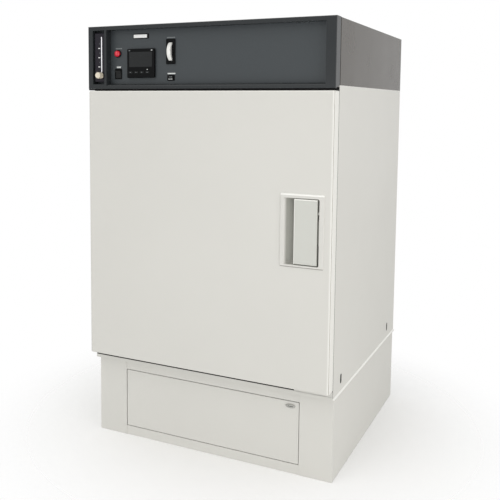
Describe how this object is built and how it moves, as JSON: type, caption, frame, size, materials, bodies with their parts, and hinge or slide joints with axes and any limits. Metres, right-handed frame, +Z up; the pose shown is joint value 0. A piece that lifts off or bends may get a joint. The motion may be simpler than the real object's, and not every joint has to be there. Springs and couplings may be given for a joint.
{
  "type": "cleanroom oven",
  "caption": "Upright insulated oven on a plinth, with a full-width hinged door, recessed pull handle and control box on top; filtered fan-driven air passes shelves inside.",
  "frame": {"origin": "on the floor, under the middle of the plinth and cabinet", "axes": "+Z up, +Y towards the back, +X to the right as seen from the front"},
  "size_m": [0.8988, 0.9426, 1.444],
  "materials": {
    "painted_light": "satin",
    "painted_dark": "satin",
    "painted_box": "gloss",
    "panel_grey": "matt",
    "stainless": "brushed",
    "bright_steel": "polished",
    "galvanised": "matt",
    "aluminium": "matt",
    "wool": "fibrous",
    "black_rubber": "matt",
    "filter_media": "pleated",
    "black_plastic": "matt",
    "gloss_black": "gloss",
    "display": "gloss",
    "light_plastic": "matt",
    "cream_plastic": "gloss",
    "plate_grey": "matt",
    "red_lens": "gloss",
    "purple_acrylic": "gloss",
    "float_black": "matt"
  },
  "bodies": {
    "cabinet": {"plinth_shell": "painted_light", "cabinet_shell": "painted_light", "rear_panel": "painted_light", "cover_screws": "bright_steel", "slot_cups": "black_plastic", "insulation": "wool", "chamber_liner": "stainless", "front_frame": "stainless", "duct_plate": "stainless", "duct_screens": "stainless", "fan_partition": "stainless", "filter_frame": "aluminium", "filter_pleats": "filter_media", "shelf_racks": "stainless", "heater": "bright_steel", "fan_motor": "painted_dark", "exhaust_port": "stainless", "gas_inlet": "bright_steel", "cable_gland": "black_plastic", "cabinet_hinge_leaves": "bright_steel", "strike_plates": "bright_steel", "door_gasket": "black_rubber", "top_cover": "painted_box", "control_bezel": "painted_dark", "control_panel": "panel_grey", "controller_case": "black_plastic", "controller_screen": "display", "power_switch_frame": "black_plastic", "small_switch_frame": "black_plastic", "dial_bezel": "black_plastic", "flow_meter_body": "purple_acrylic", "flow_meter_tube": "light_plastic", "name_plate": "plate_grey", "lamp_base": "black_plastic", "lamp_lens": "red_lens"},
    "upper_shelf": {"upper_shelf": "bright_steel"},
    "lower_shelf": {"lower_shelf": "bright_steel"},
    "fan": {"fan_wheel": "galvanised", "fan_shaft": "bright_steel"},
    "damper": {"exhaust_damper": "stainless"},
    "door": {"door_shell": "painted_light", "door_insulation": "wool", "door_liner": "stainless", "door_hinge_leaves": "bright_steel", "handle_bezel": "painted_light", "lever_pin": "bright_steel", "door_magnets": "black_plastic"},
    "lever": {"handle_lever": "painted_light"},
    "push_pin": {"push_off_pin": "bright_steel"},
    "access_panel": {"access_panel": "painted_light"},
    "panel_lock": {"panel_lock": "bright_steel"},
    "key_1": {"key_1": "gloss_black"},
    "key_2": {"key_2": "gloss_black"},
    "key_3": {"key_3": "gloss_black"},
    "key_4": {"key_4": "gloss_black"},
    "power_rocker": {"power_rocker": "gloss_black"},
    "small_rocker": {"small_rocker": "gloss_black"},
    "dial_wheel": {"dial_wheel": "light_plastic"},
    "flow_float": {"flow_float": "float_black"},
    "flow_knob": {"flow_knob": "cream_plastic"}
  },
  "joints": [
    {"name": "door_hinge", "type": "hinge", "parent": "cabinet", "child": "door", "pos_m": [-0.4473, -0.38815, 0.7995], "axis": [0, 0, -1], "range_deg": [0, 135]},
    {"name": "lever_pivot", "type": "hinge", "parent": "door", "child": "lever", "pos_m": [0.3865, -0.419, 0.7995], "axis": [0, 0, 1], "range_deg": [0, 35], "stiffness_Nm_per_rad": 1},
    {"name": "push_pin_slide", "type": "slide", "parent": "door", "child": "push_pin", "axis": [0, 1, 0], "range_m": [0, 0.0033]},
    {"name": "access_panel_hinge", "type": "hinge", "parent": "cabinet", "child": "access_panel", "pos_m": [-0.3195, -0.3643, 0.0344], "axis": [0, 0, -1], "range_deg": [0, 100]},
    {"name": "panel_lock_turn", "type": "hinge", "parent": "access_panel", "child": "panel_lock", "pos_m": [0.2955, -0.3688, 0.2236], "axis": [0, 1, 0], "range_deg": [0, 90]},
    {"name": "upper_shelf_slide", "type": "slide", "parent": "cabinet", "child": "upper_shelf", "axis": [0, -1, 0], "range_m": [0, 0.028]},
    {"name": "lower_shelf_slide", "type": "slide", "parent": "cabinet", "child": "lower_shelf", "axis": [0, -1, 0], "range_m": [0, 0.028]},
    {"name": "fan_spin", "type": "hinge", "parent": "cabinet", "child": "fan", "pos_m": [-0.02575, 0.1685, 0.7584], "axis": [0, 1, 0], "continuous": true},
    {"name": "damper_turn", "type": "hinge", "parent": "cabinet", "child": "damper", "pos_m": [0.23, 0.446, 1.0204], "axis": [0, 0, 1], "range_deg": [0, 90]},
    {"name": "power_rocker_tilt", "type": "hinge", "parent": "cabinet", "child": "power_rocker", "pos_m": [-0.334, -0.397, 1.28435], "axis": [-1, 0, 0], "range_deg": [0, 16]},
    {"name": "small_rocker_tilt", "type": "hinge", "parent": "cabinet", "child": "small_rocker", "pos_m": [-0.128, -0.397, 1.26975], "axis": [0, 0, 1], "range_deg": [0, 16]},
    {"name": "dial_turn", "type": "hinge", "parent": "cabinet", "child": "dial_wheel", "pos_m": [-0.1286, -0.3835, 1.35495], "axis": [1, 0, 0], "range_deg": [-135, 135]},
    {"name": "flow_float_rise", "type": "slide", "parent": "cabinet", "child": "flow_float", "axis": [0, 0, 1], "range_m": [0, 0.1174]},
    {"name": "flow_knob_turn", "type": "hinge", "parent": "cabinet", "child": "flow_knob", "pos_m": [-0.3908, -0.421, 1.279], "axis": [0, 1, 0], "range_deg": [0, 720]},
    {"name": "key_1_press", "type": "slide", "parent": "cabinet", "child": "key_1", "axis": [0, 1, 0], "range_m": [0, 0.0006], "stiffness_N_per_m": 1500},
    {"name": "key_2_press", "type": "slide", "parent": "cabinet", "child": "key_2", "axis": [0, 1, 0], "range_m": [0, 0.0006], "stiffness_N_per_m": 1500},
    {"name": "key_3_press", "type": "slide", "parent": "cabinet", "child": "key_3", "axis": [0, 1, 0], "range_m": [0, 0.0006], "stiffness_N_per_m": 1500},
    {"name": "key_4_press", "type": "slide", "parent": "cabinet", "child": "key_4", "axis": [0, 1, 0], "range_m": [0, 0.0006], "stiffness_N_per_m": 1500}
  ],
  "couplings": [
    {"joint": "push_pin_slide", "follows": "lever_pivot", "m_per_rad": 0.005402}
  ]
}
